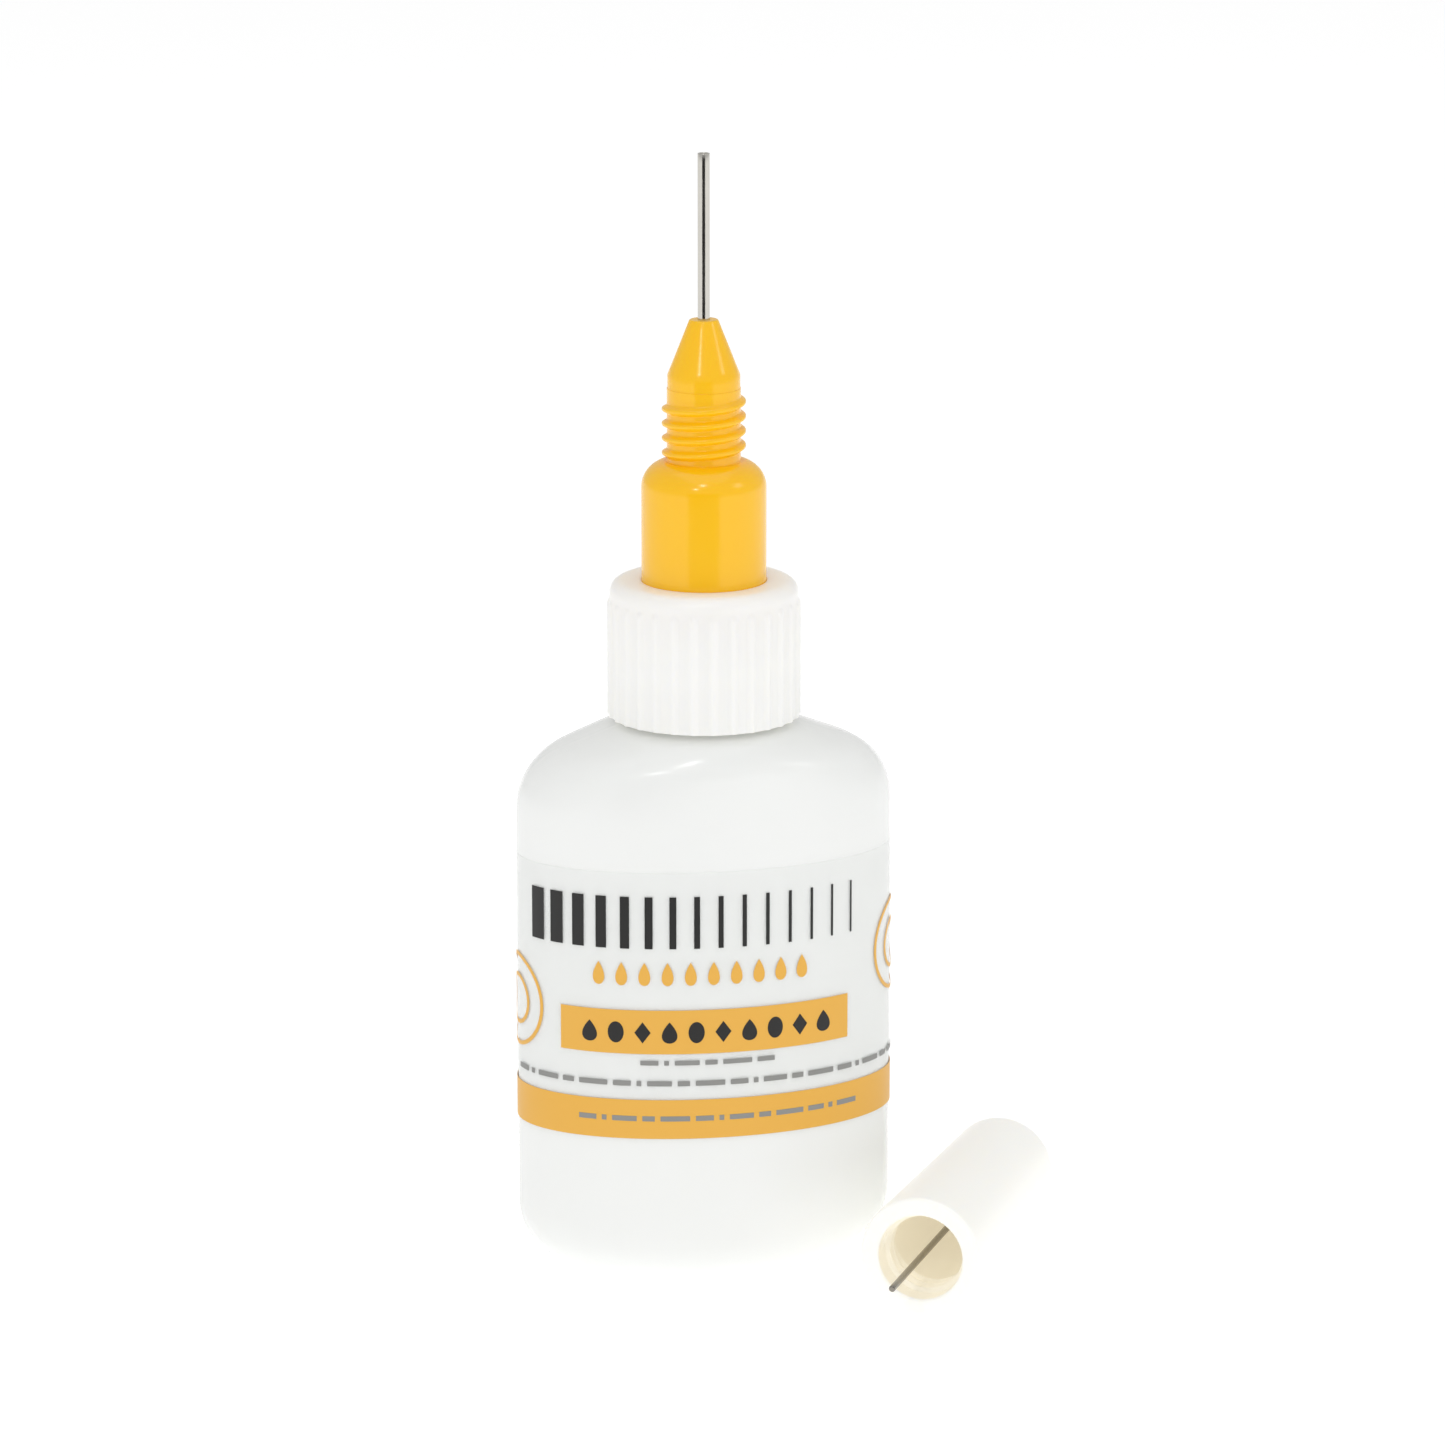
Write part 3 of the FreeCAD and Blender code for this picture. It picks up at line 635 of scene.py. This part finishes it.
@dataclass
class Label:
    """The printed film round the bottle's straight side, and the inks on it.

    A place on the film is given by its arc length from the front's middle, positive towards +X,
    and its height. The ellipse's arc length is summed over short chords and read backwards.
    """

    half_width: float = 20.0
    half_depth: float = 12.0
    bottom: float = 16.7
    height: float = 28.9
    film: float = 0.12
    film_gap: float = 0.02
    back_gap: float = 3.0
    ink: float = 0.025
    band_top: float = 20.95
    lengths: Array = field(init=False)
    turns: Array = field(init=False)

    def __post_init__(self) -> None:
        """Sum the ellipse's arc length both ways from the front."""
        self.turns = np.linspace(-1.5 * np.pi, 0.5 * np.pi, 4001)
        chord = np.hypot(np.diff(self.half_width * np.cos(self.turns)),
                         np.diff(self.half_depth * np.sin(self.turns)))
        total = np.concatenate([[0.0], np.cumsum(chord)])
        self.lengths = total - np.interp(-0.5 * np.pi, self.turns, total)

    def wrap(self, grid: Array, proud: float) -> Array:
        """Points of (along, up) laid on the bottle, proud millimetres off its wall.

        The wall's outward normal at turn t is (b cos t, a sin t) made one long.
        """
        turn = np.interp(grid[..., 0], self.lengths, self.turns)
        out = np.stack([self.half_depth * np.cos(turn), self.half_width * np.sin(turn)], axis=-1)
        out = out / np.linalg.norm(out, axis=-1, keepdims=True)
        across = self.half_width * np.cos(turn) + proud * out[..., 0]
        back = self.half_depth * np.sin(turn) + proud * out[..., 1]
        return np.stack([across, back, grid[..., 1]], axis=-1)

    def slab(self, grid: Array, low: float, high: float, ring: bool) -> tuple[Array, list]:
        """A thin closed solid over a patch of the film.

        Args:
            grid: Points (along, up) by row and column.
            low: Height of its underside off the wall.
            high: Height of its top off the wall.
            ring: Whether the columns join into a ring.

        Returns:
            Its points and its faces.
        """
        rows, columns = grid.shape[:2]
        points = np.vstack([self.wrap(grid, high), self.wrap(grid, low)[::-1]])
        faces = quads(2 * rows, columns, True, ring).tolist()
        if not ring:
            upper = np.arange(rows) * columns
            under = (2 * rows - 1 - np.arange(rows)) * columns
            left = np.stack([upper[1:], under[1:], under[:-1], upper[:-1]], axis=-1)
            right = left[:, ::-1] + columns - 1
            faces += left.tolist() + right.tolist()
        return points.reshape(-1, 3), faces

    def print_marks(self, name: str, marks: Sequence[Mark | Ring], finish: Finish,
                    layer: int = 1) -> bpy.types.Object:
        """One printed colour: all its marks as thin solids in one piece, layer by layer."""
        points, faces, count = [], [], 0
        low = self.film + (layer - 1) * self.ink
        for mark in marks:
            slab_points, slab_faces = self.slab(mark.grid(), low, low + self.ink,
                                                isinstance(mark, Ring))
            points.append(slab_points)
            faces += (np.array(slab_faces) + count).tolist()
            count += len(slab_points)
        piece = fill_piece(name, np.vstack(points), faces, 30)
        finish.dress(piece)
        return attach(piece, "bottle")

    def half_length(self) -> float:
        """Arc length from the front's middle to the film's end at the back."""
        return float(self.lengths[-1]) - self.back_gap / 2

    def gold_marks(self) -> list[Mark | Ring]:
        """The band round the foot of the film, the short bar, a row of drops and side rings."""
        middle = (self.bottom + self.band_top) / 2
        band = Mark(Shape.BAR, 0.0, middle, 2 * self.half_length(), self.band_top - self.bottom,
                    240)
        bar = Mark(Shape.BAR, -1.95, 28.35, 31.9, 4.75, 60)
        drops = [Mark(Shape.DROP, along, 34.65, 1.3, 2.5, 7)
                 for along in np.linspace(-13.6, 8.2, 10)]
        rings = [Ring(side, up, 4.9 * scale, 5.05 * scale, 0.42)
                 for side, up in ((-25.1, 29.9), (23.1, 34.3)) for scale in (1.0, 0.55)]
        return [band, bar, *drops, *rings]

    def black_marks(self) -> list[Mark | Ring]:
        """A gauge of upright strokes that get finer from left to right."""
        widths = np.geomspace(1.75, 0.22, 15)
        edges = np.linspace(-20.9, 14.4, 15)
        return [Mark(Shape.BAR, along, 40.2, width, 5.6, 4) for along, width in zip(edges, widths)]

    def bar_marks(self) -> list[Mark | Ring]:
        """Small plain shapes on the short bar."""
        shapes = (Shape.DROP, Shape.DISC, Shape.DIAMOND)
        return [Mark(shapes[index % 3], along, 28.3, 1.7, 2.3, 7)
                for index, along in enumerate(np.linspace(-14.6, 10.8, 10))]

    def grey_marks(self) -> list[Mark | Ring]:
        """Three lines of short dashes, their lengths varied in a fixed order."""
        marks = []
        for start, stop, up, tall in ((-9.2, 5.2, 25.0, 0.5), (-24.5, 24.5, 22.75, 0.55),
                                      (-15.8, 12.8, 18.9, 0.55)):
            along, index = start, 0
            while along < stop:
                long = (1.9, 0.5, 2.6, 1.3, 3.1)[index % 5]
                marks.append(Mark(Shape.BAR, along + long / 2, up, long, tall, 6))
                along += long + 0.6
                index += 1
        return marks

    def build(self) -> list[bpy.types.Object]:
        """The film and its three inks."""
        reach = self.half_length()
        along, up = np.meshgrid(np.linspace(-reach, reach, 260),
                                np.linspace(self.bottom, self.bottom + self.height, 8))
        points, faces = self.slab(np.stack([along, up], axis=-1), self.film_gap, self.film, False)
        film = fill_piece("label_sheet", points, faces, 30)
        LABEL_FILM.dress(film)
        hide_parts("label")
        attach(film, "bottle")
        return [film, self.print_marks("label_print_gold", self.gold_marks(), GOLD_INK),
                self.print_marks("label_print_black", self.black_marks(), BLACK_INK),
                self.print_marks("label_print_bar", self.bar_marks(), BLACK_INK, 2),
                self.print_marks("label_print_grey", self.grey_marks(), GREY_INK, 2)]


# ---------------------------------------------------------------------------- collar
@dataclass
class ScrewCollar:
    """The ribbed collar with its holed lid, and the gasket that it presses on the rim."""

    foot: float = 59.64
    top: float = 74.16
    lid: float = 72.71
    radius: float = 9.9
    bore: float = 8.95
    hole: float = 6.63
    edge: float = 1.3
    ribs: int = 30
    rib_radius: float = 0.555
    rib_proud: float = 0.26
    rib_top: float = 72.16
    rib_fade: float = 0.5
    thread_level: float = 63.1275
    thread_turns: float = 1.75
    columns: int = 420

    def relief(self, angle: Array, radius: Array, height: Array) -> Array:
        """Ribs outside, the thread's ridge inside.

        Across a rib at angle d off its middle the surface lies at c cos d +
        sqrt(q q - (c sin d)^2), for a rib of radius q centred at c from the axis.
        """
        middle = self.radius + self.rib_proud - self.rib_radius
        step = 2 * np.pi / self.ribs
        off = (angle + step / 2) % step - step / 2
        chord = np.maximum(0, self.rib_radius ** 2 - (middle * np.sin(off)) ** 2)
        rib = middle * np.cos(off) + np.sqrt(chord)
        shoulder = np.clip((self.rib_top - height) / self.rib_fade, 0, 1)
        rise = np.maximum(0, rib - self.radius) * np.sqrt(shoulder)
        outside = radius > self.radius - 2 * ON_WALL
        thread = Thread(level=self.thread_level, pitch=CLOSURE_PITCH, turns=self.thread_turns,
                        **CLOSURE_RIDGE)
        inside = np.abs(radius - self.bore) < ON_WALL
        return radius + outside * rise - inside * thread.rise(angle, height)

    def build(self) -> bpy.types.Object:
        """The collar as one closed ring."""
        profile = rounded([
            (self.bore, self.foot, 0.1), (self.radius, self.foot, 0.12),
            (self.radius, self.top, self.edge), (self.hole, self.top, 0.06),
            (self.hole, self.lid, 0.1), (self.bore, self.lid, 0.3)])
        profile = refined(profile, 0.19, 0.5, (self.foot + 0.3, self.rib_top + 0.3))
        piece = turned("screw_collar", profile, self.columns, relief=self.relief, crease=45)
        WHITE_POLYPROPYLENE.dress(piece)
        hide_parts("collar")
        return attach(piece, "collar")


@dataclass
class Gasket:
    """The foam ring between the neck's rim and the tip's flange."""

    bore: float = 5.75
    radius: float = 7.5
    foot: float = 70.66
    top: float = 71.46
    edge: float = 0.15

    def build(self) -> bpy.types.Object:
        """The ring with softly rounded edges."""
        profile = rounded([(self.bore, self.foot, self.edge), (self.radius, self.foot, self.edge),
                           (self.radius, self.top, self.edge), (self.bore, self.top, self.edge)])
        piece = turned("foam_gasket", profile, 128)
        WHITE_FOAM.dress(piece)
        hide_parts("neck_gasket")
        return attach(piece, "tip")


# ---------------------------------------------------------------------------- tip and needle
@dataclass
class DispensingTip:
    """The hollow yellow tip: plug, flange, cylinder, shoulder, threaded waist and cone."""

    plug_foot: float = 67.64
    plug_radius: float = 5.65
    bore: float = 4.75
    flange_foot: float = 71.46
    flange_top: float = 72.66
    flange_radius: float = 8.2
    radius: float = 6.55
    cylinder_top: float = 84.06
    shoulder_round: float = 3.0
    shoulder_top: float = 4.15
    waist_foot: float = 86.86
    waist_top: float = 94.56
    waist_radius: float = 3.86
    cone_foot: float = 95.96
    cone_radius: float = 3.8
    cone_top: float = 101.76
    cone_lip: float = 1.5
    ridge_rise: float = 0.1
    ridge_turns: float = 4.4
    passage: float = 2.3
    funnel_foot: float = 91.66
    needle_foot: float = 93.26
    needle_radius: float = 0.635
    columns: int = 200

    def relief(self, angle: Array, radius: Array, height: Array) -> Array:
        """The round-topped ridge on the waist, as a smooth bump half a millimetre high."""
        ridge = Thread(level=self.waist_foot + self.ridge_rise, pitch=TIP_PITCH,
                       turns=self.ridge_turns, root=1.12, crest=0.16, height=0.54)
        waist = (np.abs(radius - self.waist_radius) < 3 * ON_WALL) & (height > self.waist_foot)
        return radius + waist * ridge.rise(angle, height)

    def profile(self) -> Array:
        """Half-section from the plug's foot up the outside and down through the passage."""
        swing = np.linspace(0, math.acos((self.shoulder_top - self.radius + self.shoulder_round)
                                         / self.shoulder_round), 14)[1:-1]
        rise = (self.waist_foot - self.cylinder_top) / math.sin(swing[-1] + swing[1] - swing[0])
        across = self.radius - self.shoulder_round * (1 - np.cos(swing))
        up = self.cylinder_top + rise * np.sin(swing)
        shoulder = [(float(a), float(b), 0.0) for a, b in zip(across, up)]
        return rounded([
            (self.bore, self.plug_foot, 0.2), (self.plug_radius, self.plug_foot, 0.3),
            (self.plug_radius, self.flange_foot, 0.1), (self.flange_radius, self.flange_foot, 0.15),
            (self.flange_radius, self.flange_top, 0.15), (self.radius, self.flange_top, 0.1),
            (self.radius, self.cylinder_top, 0), *shoulder,
            (self.shoulder_top, self.waist_foot, 0.15), (self.waist_radius, self.waist_foot, 0.12),
            (self.waist_radius, self.waist_top, 0.02), (self.cone_radius, self.waist_top, 0.02),
            (self.cone_radius, self.cone_foot, 0),
            (self.cone_lip, self.cone_top, 0.22), (self.needle_radius, self.cone_top, 0.04),
            (self.needle_radius, self.needle_foot, 0), (self.passage, self.funnel_foot, 0.3),
            (self.passage, self.waist_foot, 0.3), (self.bore, self.cylinder_top, 0.5)])

    def build(self) -> bpy.types.Object:
        """The tip as one closed ring."""
        profile = refined(self.profile(), 0.07, 0.8, (self.waist_foot + 0.3, self.waist_top))
        piece = turned("dispensing_tip", profile, self.columns, relief=self.relief, crease=50)
        YELLOW_POLYETHYLENE.dress(piece)
        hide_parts("tip_body")
        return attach(piece, "tip")


@dataclass
class Needle:
    """The straight steel tube, with its cut end's edges broken."""

    foot: float = 93.26
    top: float = 119.16
    radius: float = 0.635
    bore: float = 0.419
    edge: float = 0.06

    def build(self) -> bpy.types.Object:
        """The tube as one closed ring."""
        profile = rounded([(self.bore, self.foot, self.edge), (self.radius, self.foot, self.edge),
                           (self.radius, self.top, self.edge), (self.bore, self.top, self.edge)],
                          steps=3)
        piece = turned("steel_needle", refined(profile, 1.0, 1.0, (self.foot, self.top)), 72)
        NEEDLE_STEEL.dress(piece)
        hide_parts("needle")
        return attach(piece, "tip")


# ---------------------------------------------------------------------------- cap and wire
@dataclass
class LooseCap:
    """The tapered cap lying beside the bottle, and the cleaning wire fixed in its closed end.

    Both are made upright, mouth down at height 0, then laid on the table: the axis leans by the
    angle whose tangent is the narrowing over the straight length, so that the wall touches the
    table all along.
    """

    length: float = 35.4
    mouth_radius: float = 6.45
    end_radius: float = 5.73
    end_round: float = 3.0
    bore: float = 4.52
    bore_end: float = 3.8
    bore_length: float = 33.2
    thread_zone: float = 9.0
    thread_level: float = 1.6
    thread_turns: float = 3.0
    lip: float = 0.25
    wire_radius: float = 0.35
    wire_proud: float = 11.15
    wire_seated: float = 1.6
    rest_across: float = 17.6
    rest_back: float = -25.4
    heading: float = math.radians(61.4)
    columns: int = 200

    def axis(self) -> Array:
        """Direction from the mouth to the closed end as the cap lies."""
        lean = self.lean()
        return np.array([math.cos(lean) * math.cos(self.heading),
                         math.cos(lean) * math.sin(self.heading), -math.sin(lean)])

    def lean(self) -> float:
        """Angle of the axis below level, in radians."""
        return math.atan2(self.mouth_radius - self.end_radius, self.length - self.end_round)

    def laid(self, grid: Array) -> Array:
        """Points turned from upright to lying: x to the side, y across it, z along the axis."""
        along = self.axis()
        side = np.cross([0.0, 0.0, 1.0], along)
        side = side / np.linalg.norm(side)
        rest = np.array([self.rest_across, self.rest_back,
                         self.mouth_radius * math.cos(self.lean())])
        return rest + grid @ np.stack([side, np.cross(along, side), along])

    def relief(self, angle: Array, radius: Array, height: Array) -> Array:
        """The thread's ridge inside the mouth."""
        ridge = Thread(level=self.thread_level, pitch=TIP_PITCH, turns=self.thread_turns,
                       root=0.62, crest=0.2, height=0.5)
        inside = np.abs(radius - self.bore) < ON_WALL
        return radius - inside * ridge.rise(angle, height)

    def inside_faces(self, piece: bpy.types.Object) -> Array:
        """Whether each face lies in the bore: nearer the axis than its wall, and before its end.

        A face's middle m is m . k along the axis k, and sqrt(m . m - (m . k)^2) away from it, both
        counted from the mouth's middle.
        """
        middle = np.empty(len(piece.data.polygons) * 3)
        piece.data.polygons.foreach_get("center", middle)
        middle = middle.reshape(-1, 3) / MM - self.laid(np.zeros((1, 3)))
        along = middle @ self.axis()
        away = np.sqrt(np.maximum(0, (middle ** 2).sum(axis=1) - along ** 2))
        spare = 5 * ON_WALL
        return ((away < self.bore + spare) & (along < self.bore_length + spare)
                & (along > self.lip))

    def build_cap(self) -> bpy.types.Object:
        """The cap as one closed shell with poles at its end wall's two faces."""
        profile = rounded([
            (0, self.bore_length, 0), (self.bore_end, self.bore_length, 0.8),
            (self.bore, self.thread_zone, 0.5), (self.bore, 0, 0.3), (self.mouth_radius, 0, 0.35),
            (self.end_radius, self.length - self.end_round + 0.2, 0.5),
            (self.end_radius - 0.03, self.length, self.end_round), (0, self.length, 0),
        ], closed=False, steps=10)
        profile = refined(profile, 0.16, 0.9, (0.4, 7.4), closed=False)
        grid = self.laid(turned_grid(profile, self.columns, self.relief))
        piece = skin("tapered_cap", grid, Ends.POLES, crease=45)
        CAP_POLYPROPYLENE.dress(piece)
        # Faces in the bore take the cap plastic's painted-light copy: cream colour and stronger
        # glow for light through the wall.
        piece.data.materials.append(CAP_INSIDE_PAINTED_LIGHT.material())
        piece.data.polygons.foreach_set("material_index", self.inside_faces(piece).astype(int))
        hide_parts("cap")
        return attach(piece, "cap")

    def build_wire(self) -> bpy.types.Object:
        """The wire as a rod with a rounded free end."""
        top = self.bore_length + self.wire_seated
        profile = rounded([(0, -self.wire_proud, 0), (self.wire_radius, -self.wire_proud, 0.15),
                           (self.wire_radius, top, 0.05), (0, top, 0)], closed=False)
        profile = refined(profile, 1.5, 1.5, (0, 1), closed=False)
        grid = self.laid(turned_grid(profile, 48))
        piece = skin("cleaning_wire", grid, Ends.POLES)
        steel = DrawnSteel(
            name="drawn_steel_wire", slot="wire_steel", colour="#98938A", shade="#89857C",
            roughness=0.24, rough_spread=0.05, cloud_mm=2.0, grain_depth=0.002, metallic=1.0,
            along=tuple(self.axis().tolist()))
        steel.dress(piece)
        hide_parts("cap_wire")
        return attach(piece, "cap")


# ---------------------------------------------------------------------------- studio
@dataclass(frozen=True)
class SoftBox:
    """A square area light aimed at the object's middle."""

    name: str
    azimuth: float
    elevation: float
    distance: float
    size: float
    power: float
    colour: str = "#FFFFFF"

    def place(self, target: Vector) -> bpy.types.Object:
        """The light, where its azimuth and elevation put it about the target."""
        data = bpy.data.lights.new(self.name, "AREA")
        data.size, data.energy, data.color = self.size, self.power, linear(self.colour)[:3]
        light = bpy.data.objects.new(self.name, data)
        bpy.context.scene.collection.objects.link(light)
        turn, lift = math.radians(self.azimuth), math.radians(self.elevation)
        away = Vector((math.sin(turn) * math.cos(lift), -math.cos(turn) * math.cos(lift),
                       math.sin(lift)))
        light.location = target + away * self.distance
        light.rotation_euler = away.to_track_quat("Z", "Y").to_euler()
        return light


@dataclass
class Studio:
    """A pale floor, a dark card, soft light and the camera.

    The camera looks along its own back direction (sin a cos e, -cos a cos e, sin e) reversed, from
    its distance away.
    """

    azimuth: float = math.radians(-12.0)
    elevation: float = math.radians(14.0)
    distance: float = 700.0
    target: tuple[float, float, float] = (1.904, -0.405, 58.638)
    lens: float = 165.588
    sensor: float = 36.0
    surround: float = 0.58
    floor_half: float = 6000.0
    floor_drop: float = 0.05
    floor_glow: float = 0.34
    card_half: float = 140.0
    card_top: float = 130.0
    card_away: float = 260.0
    lit_point: tuple[float, float, float] = (0.0, 0.0, 0.06)
    boxes: tuple[SoftBox, ...] = (
        SoftBox("key_box", -14.0, 48.0, 1.1, 0.12, 0.9),
        SoftBox("streak_box", -28.0, 31.2, 1.0, 0.035, 0.5),
        SoftBox("fill_box", 62.0, 30.0, 1.3, 0.3, 0.7),
        SoftBox("top_box", 0.0, 88.0, 1.5, 1.6, 4.0),
    )

    def back(self) -> Vector:
        """Direction from the target to the camera."""
        level = math.cos(self.elevation)
        return Vector((math.sin(self.azimuth) * level, -math.cos(self.azimuth) * level,
                       math.sin(self.elevation)))

    def camera(self) -> None:
        """Create the camera and make it the scene's."""
        data = bpy.data.cameras.new("camera")
        data.lens, data.sensor_width, data.clip_end = self.lens, self.sensor, 20.0
        camera = bpy.data.objects.new("camera", data)
        bpy.context.scene.collection.objects.link(camera)
        camera.location = (Vector(self.target) + self.back() * self.distance) * MM
        camera.rotation_euler = self.back().to_track_quat("Z", "Y").to_euler()
        bpy.context.scene.camera = camera

    def floor(self) -> None:
        """A plain pale floor under the object, lit from below like a light table."""
        half, low = self.floor_half, -self.floor_drop
        points = np.array([(-half, -half, low), (half, -half, low), (half, half, low),
                           (-half, half, low)])
        floor = fill_piece("floor", points, [[0, 1, 2, 3]], 30)
        paper = bpy.data.materials.new("white_paper")
        paper.use_nodes = True
        shader = paper.node_tree.nodes["Principled BSDF"]
        shader.inputs["Base Color"].default_value = linear("#FBFBFB")
        shader.inputs["Roughness"].default_value = 0.9
        shader.inputs["Specular IOR Level"].default_value = 0.1
        shader.inputs["Emission Color"].default_value = linear("#FFFFFF")
        shader.inputs["Emission Strength"].default_value = self.floor_glow
        floor.data.materials.append(paper)

    def card(self) -> None:
        """A dark card in front that only mirrored rays meet, for the steel's dark middle line."""
        ahead = np.array([math.sin(self.azimuth), -math.cos(self.azimuth), 0]) * self.card_away
        side = np.array([math.cos(self.azimuth), math.sin(self.azimuth), 0]) * self.card_half
        top = np.array([0, 0, self.card_top])
        points = np.array([ahead - side, ahead + side, ahead + side + top, ahead - side + top])
        card = fill_piece("dark_card", points, [[0, 1, 2, 3]], 30)
        cloth = bpy.data.materials.new("black_cloth")
        cloth.use_nodes = True
        shader = cloth.node_tree.nodes["Principled BSDF"]
        shader.inputs["Base Color"].default_value = linear("#151515")
        shader.inputs["Roughness"].default_value = 1.0
        card.data.materials.append(cloth)
        card.visible_camera = False
        card.visible_diffuse = False
        card.visible_shadow = False
        card.visible_transmission = False

    def light(self) -> None:
        """An even pale surround and the soft boxes."""
        world = bpy.data.worlds.new("surround")
        world.use_nodes = True
        sky = world.node_tree.nodes["Background"]
        sky.inputs["Color"].default_value = linear("#FFFFFF")
        sky.inputs["Strength"].default_value = self.surround
        bpy.context.scene.world = world
        for box in self.boxes:
            box.place(Vector(self.lit_point))

    def build(self) -> None:
        """Camera, floor, card, light and a plain view transform."""
        self.camera()
        self.floor()
        self.card()
        self.light()
        bpy.context.scene.view_settings.view_transform = "Standard"


def main() -> None:
    """Build the studio, then each piece in order, and report what was built."""
    logging.basicConfig(level=logging.INFO, format="%(message)s")
    Studio().build()
    cap = LooseCap()
    pieces = [SqueezeBottle().build(), *Label().build(), ScrewCollar().build(), Gasket().build(),
              DispensingTip().build(), Needle().build(), cap.build_cap(), cap.build_wire()]
    for piece in pieces:
        log.info("%s: %d faces", piece.name, len(piece.data.polygons))


if __name__ == "__main__":
    main()
